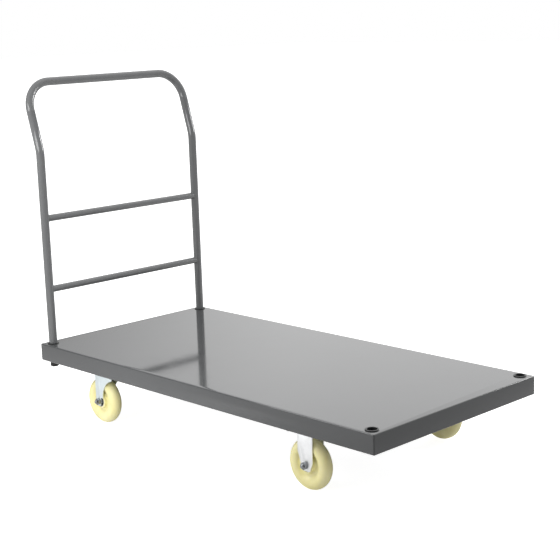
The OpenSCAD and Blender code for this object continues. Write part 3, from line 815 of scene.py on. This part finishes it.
# Swivel forks. Folded like the rigid ones, but round under the swivel head and swept back to the axle.
# Each leg bulges to a pressed crease in front of its foot, from which a hollow-edged wing steps back in
# and stays clear of the wheel.
blue_zinc = plain_steel("blue_zinc_plated_sheet", "#dfe8eb", 0.34, 1.2 * mm, 0.012 * mm)
pin_low, pin_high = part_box("kingpin_left")
pin_middle = (pin_low + pin_high) / 2
swivel_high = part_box("swivel_fork_left")[1]
rear_axle = axle + to_rear
trail = pin_middle.x - rear_axle.x
heel_r = 13.5 * mm
pin_hole_r = 6.02 * mm
crown_top = swivel_high.z - 3 * mm
wing_front = trail + 25 * mm
crease_x = 5.5 * mm
crease_out = 1.4 * mm
joggle = 2 * mm
step_in = 0.1 * mm
wing_in = 0.6 * mm


def crease(fork):
    """Folds both legs at the crease: out at the crease itself, and just in again at the wing's front."""
    choose(fork, "FACE", lambda spot, way: True)
    for x in (crease_x, crease_x + joggle):
        bpy.ops.mesh.select_all(action="SELECT")
        bpy.ops.mesh.bisect(plane_co=(axle.x + x, 0, 0), plane_no=(1, 0, 0))
    for x, out in ((-heel_r, 0), (crease_x, crease_out), (crease_x + joggle, -step_in),
                   (wing_front, -wing_in)):
        bpy.ops.object.mode_set(mode="OBJECT")
        for group in (fork.data.polygons, fork.data.edges, fork.data.vertices):
            group.foreach_set("select", [False] * len(group))
        for corner in fork.data.vertices:
            corner.select = abs(corner.co.x - axle.x - x) < 0.05 * mm
        bpy.context.tool_settings.mesh_select_mode = (True, False, False)
        bpy.ops.object.mode_set(mode="EDIT")
        bpy.ops.transform.resize(value=(1, (leg_out + out) / leg_out, 1), center_override=axle)


hollow_r = wing_front - heel_r + 10.5 * mm
hollow = (wing_front + 14 * mm, 12 * mm)
hollow_start = math.degrees(math.acos((wing_front - hollow[0]) / hollow_r))
crown_up = crown_top - axle.z + 2 * mm
swivel_outline = ([(-heel_r, crown_up)] + arc(0, 0, heel_r, 180, 290, 10)
                  + [(crease_x + 1.5 * mm, -9.5 * mm), (crease_x + 2.5 * mm, 11 * mm)]
                  + arc(*hollow, hollow_r, 182, hollow_start, 12) + [(wing_front, crown_up)])
swivel = folded_fork("swivel_legs", -heel_r, wing_front, crown_top, crease)
trim(swivel, swivel_outline)
pin_spot = axle + Vector((trail, 0, 0))
clear_selection()
bpy.ops.mesh.primitive_cylinder_add(vertices=32, radius=6.1 * mm, depth=80 * mm,
                                    location=(pin_spot.x, pin_spot.y, crown_top))
cut_away(swivel, begin("pin_drill"))
break_edges(swivel, edge)
race_r = 20 * mm
race_low = crown_top - 0.3 * mm
race_h = swivel_high.z - race_low
race_outline = [(race_r - 4.5 * mm, 0), (race_r + 4.5 * mm, 0), (race_r + 4.5 * mm, race_h - 0.5 * mm),
                (race_r + 4 * mm, race_h), (race_r + 2.6 * mm, race_h)]
race_outline += arc(race_r, race_h + 1 * mm, 2.8 * mm, -25, -155, 8)
race_outline += [(race_r - 2.6 * mm, race_h), (race_r - 4.5 * mm, race_h)]
race = turned("swivel_race", race_outline, (pin_spot.x, pin_spot.y, race_low), (0, 0, 1), 64)
swivel = joined("swivel_fork_left_pressing", swivel, race)
swivel.data.transform(Matrix.Translation(to_rear))
dress(swivel, blue_zinc, "swivel_left", "zinc_plate", "swivel_fork_left")
dress(mirror_of(swivel, "swivel_fork_right_pressing"), blue_zinc, "swivel_right", "zinc_plate",
      "swivel_fork_right")
head_plate = mounting_plate("swivel_plate_left_pressing", pin_middle, pin_hole_r)
break_edges(head_plate, edge)
dress(head_plate, blue_zinc, "chassis", "zinc_plate", "swivel_plate_left")
dress(mirror_of(head_plate, "swivel_plate_right_pressing"), blue_zinc, "chassis", "zinc_plate",
      "swivel_plate_right")


# Fasteners. Zinc-plated steel bolts, nuts and screws: hexagons with their corners turned off, and
# threads that show where they stand out of a nut.
fastener_zinc = plain_steel("zinc_plated_fastener_steel", "#8d9092", 0.11, 0.4 * mm, 0.01 * mm)
bolt_r = 4 * mm
bolt_hole_r = 4.05 * mm
bolt_pitch = 1.25 * mm
bolt_flats = 13 * mm
bolt_head_t = 5.3 * mm


def hexagon(name, flats, height, seat, axis, bore_r=None, both=True):
    """A nut or bolt head standing on a seat along an axis: a six-sided bar with its corners turned off."""
    seat, axis = Vector(seat), Vector(axis)
    corner = flats / math.sqrt(3)
    clear_selection()
    bpy.ops.mesh.primitive_cylinder_add(vertices=6, radius=corner, depth=height,
                                        location=seat + axis * height / 2,
                                        rotation=axis.to_track_quat("Z", "Y").to_euler())
    block = begin(name)
    land = flats * 0.475
    drop = (corner - land) * math.tan(math.radians(30))
    rim = corner + 0.01 * mm
    shoulder = [(land, 0), (rim, drop)] if both else [(rim, 0)]
    form = turned("chamfer", [(0, 0)] + shoulder + [(rim, height - drop), (land, height), (0, height)],
                  seat, axis, 48)
    apply_modifier(block, "BOOLEAN", operation="INTERSECT", solver="EXACT", object=form)
    bpy.data.objects.remove(form)
    if bore_r:
        clear_selection()
        bpy.ops.mesh.primitive_cylinder_add(vertices=32, radius=bore_r, depth=3 * height, location=seat,
                                            rotation=axis.to_track_quat("Z", "Y").to_euler())
        cut_away(block, begin("bore"))
    tidy_mesh(block)
    return block


def shank(name, radius, start, end, centre, axis, pitch, threaded):
    """A bolt shank from start to end along an axis, threaded on its last stretch, with a chamfered tip."""
    depth = 0.6 * pitch
    tip = 0.8 * mm
    outline = [(0, start), (radius, start), (radius, end - threaded)]
    turns = int((threaded - tip) / pitch)
    for i in range(turns):
        along = end - threaded + i * pitch
        outline += [(radius, along + 0.1 * pitch), (radius - depth, along + 0.5 * pitch),
                    (radius, along + 0.9 * pitch)]
    outline += [(radius, end - tip), (radius - tip, end), (0, end)]
    return turned(name, outline, centre, axis, 32)


# Axle bolts run through each fork with the head on the inner side, the nut and the thread end outside
bolt_low, bolt_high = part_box("axle_bolt_front_left")
nut_low, nut_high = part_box("axle_nut_front_left")
axle_r = 5 * mm
axle_flats = 17 * mm
head_overlap = 0.5 * mm
head_seat = nut_low.y - axle.y
head_t = axle.y - bolt_low.y - head_seat
four_wheels(
    joined("axle_bolt",
           shank("shank", axle_r, -head_seat - head_overlap, bolt_high.y - axle.y, axle, (0, 1, 0),
                 1.5 * mm, 6 * mm),
           hexagon("head", axle_flats, head_t, axle - Vector((0, head_seat, 0)), (0, -1, 0), both=False)),
    "axle_bolt_steel",
    lambda piece, end, side: dress(piece, fastener_zinc, "chassis" if end == "front" else f"swivel_{side}",
                                   "fastener_zinc", f"axle_bolt_{end}_{side}", smooth=30))
four_wheels(
    hexagon("axle_nut", axle_flats, nut_high.y - nut_low.y, (axle.x, nut_low.y, axle.z), (0, 1, 0),
            axle_hole_r),
    "axle_nut_steel",
    lambda piece, end, side: dress(piece, fastener_zinc, "chassis" if end == "front" else f"swivel_{side}",
                                   "fastener_zinc", f"axle_nut_{end}_{side}", smooth=30))

# Kingpin nuts, one under each swivel crown
for side in ("left", "right"):
    low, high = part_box(f"kingpin_nut_{side}")
    nut = hexagon(f"kingpin_nut_{side}_steel", 19 * mm, high.z - low.z,
                  ((low.x + high.x) / 2, (low.y + high.y) / 2, low.z), (0, 0, 1), pin_hole_r)
    dress(nut, bearing_steel, "chassis", "bearing_steel", f"kingpin_nut_{side}", smooth=30)

# Sixteen plate bolts with their heads inside the beams, and sixteen nuts under the plates
bolts_low, bolts_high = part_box("caster_bolts")
nuts_low, nuts_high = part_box("caster_nuts")
first = Vector((axle.x, axle.y, 0))
head_spot = Vector((first.x, first.y, bolts_high.z - bolt_head_t))
plate_bolt = joined(
    "plate_bolt",
    shank("shank", bolt_r, 0, head_spot.z - bolts_low.z, head_spot, (0, 0, -1), bolt_pitch, 10 * mm),
    hexagon("head", bolt_flats, bolt_head_t, head_spot, (0, 0, 1), both=False))
plate_nut = hexagon("plate_nut", bolt_flats, nuts_high.z - nuts_low.z, (first.x, first.y, nuts_low.z),
                    (0, 0, 1), bolt_hole_r)
holes = [Vector((x + dx * hole_pitch[0] / 2, side * axle.y + dy * hole_pitch[1] / 2, 0)) - first
         for x in (axle.x, pin_middle.x) for side in (-1, 1) for dx in (-1, 1) for dy in (-1, 1)]
for model, name, node in ((plate_bolt, "plate_bolts", "caster_bolts"),
                          (plate_nut, "plate_nuts", "caster_nuts")):
    group = joined(name, *[copy_of(model, "copy", hole) for hole in holes])
    bpy.data.objects.remove(model)
    dress(group, fastener_zinc, "chassis", "fastener_zinc", node, smooth=30)

# Four weld nuts on the inner sides of the socket tubes, and the set screws that clamp the posts
weld_low, weld_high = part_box("weld_nuts")
screw_z = (weld_low.z + weld_high.z) / 2
front_left = sockets["front", "left"]
weld_nut_t = 6.5 * mm
weld_seat = sleeve_r + socket_wall + clearance
screw_tip = bush_r + 0.4 * mm
screw_head = sleeve_r + socket_wall + 10.5 * mm
inwards = Vector((0, -1, 0))
spot = Vector((front_left.x, front_left.y, screw_z))
weld_nut = hexagon("weld_nut", bolt_flats, weld_nut_t, spot + inwards * weld_seat, inwards, bolt_hole_r)
screw = joined("set_screw",
               shank("shank", bolt_r, -screw_head - head_overlap, -screw_tip, spot, -inwards, bolt_pitch,
                     12 * mm),
               hexagon("head", bolt_flats, bolt_head_t, spot + inwards * screw_head, inwards, both=False))
across_deck = Vector((sockets["rear", "left"].x - front_left.x, 0, 0))
for model, name, node in ((weld_nut, "weld_nut_set", "weld_nuts"), (screw, "set_screw_set", "set_screws")):
    left_pair = joined(name, model, copy_of(model, "copy", across_deck))
    group = joined(name, left_pair, mirror_of(left_pair, "copy"))
    dress(group, fastener_zinc, "chassis", "fastener_zinc", node, smooth=30)
